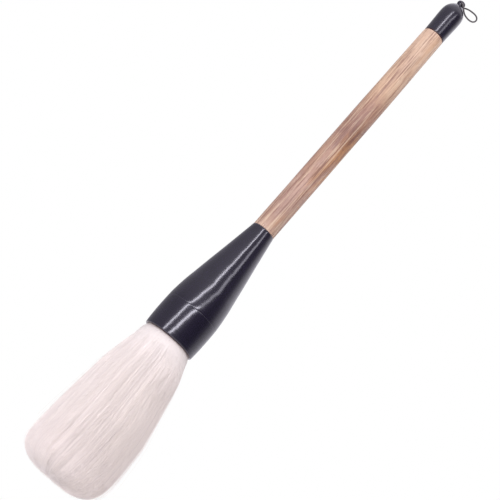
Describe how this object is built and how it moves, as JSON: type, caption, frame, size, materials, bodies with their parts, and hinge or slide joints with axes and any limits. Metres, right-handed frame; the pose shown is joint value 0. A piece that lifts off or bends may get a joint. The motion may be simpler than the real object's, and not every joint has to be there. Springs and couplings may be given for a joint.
{
  "type": "calligraphy brush",
  "caption": "Large ink brush: mottled bamboo handle, black horn cone ferrule and collar, full pale hair tuft that bends, domed horn cap and a swinging hanging loop.",
  "frame": {"origin": "on the brush's axis, at the centre of the cross-drilled eye that carries the hanging loop", "axes": "+Z along the brush from the hair to the knob; the eye runs along Y; the loop stands out towards +X"},
  "size_m": [0.0622, 0.0622, 0.4345],
  "materials": {
    "bamboo": "satin, mottled",
    "dowel_wood": "plain",
    "horn": "polished",
    "root_hair": "glued",
    "thread": "waxed",
    "resin": "clear amber",
    "core_hair": "soft",
    "cover_hair": "soft",
    "cord": "braided"
  },
  "bodies": {
    "brush": {"handle": "bamboo", "handle_dowel": "dowel_wood", "tail_cap": "horn", "hanging_knob": "horn", "ferrule_cone": "horn", "ferrule_cup": "horn", "tuft_root": "root_hair", "root_binding": "thread", "root_resin": "resin"},
    "tuft": {"tuft_core": "core_hair", "tuft_cover": "cover_hair"},
    "loop": {"hanging_loop": "cord"}
  },
  "joints": [
    {"name": "tuft_bend", "type": "hinge", "parent": "brush", "child": "tuft", "pos_m": [0, 0, -0.3164], "axis": [0, -1, 0], "range_deg": [-25, 25], "stiffness_Nm_per_rad": 0.12},
    {"name": "loop_swing", "type": "hinge", "parent": "brush", "child": "loop", "pos_m": [0, 0, 0], "axis": [0, -1, 0], "range_deg": [-2, 190]}
  ]
}
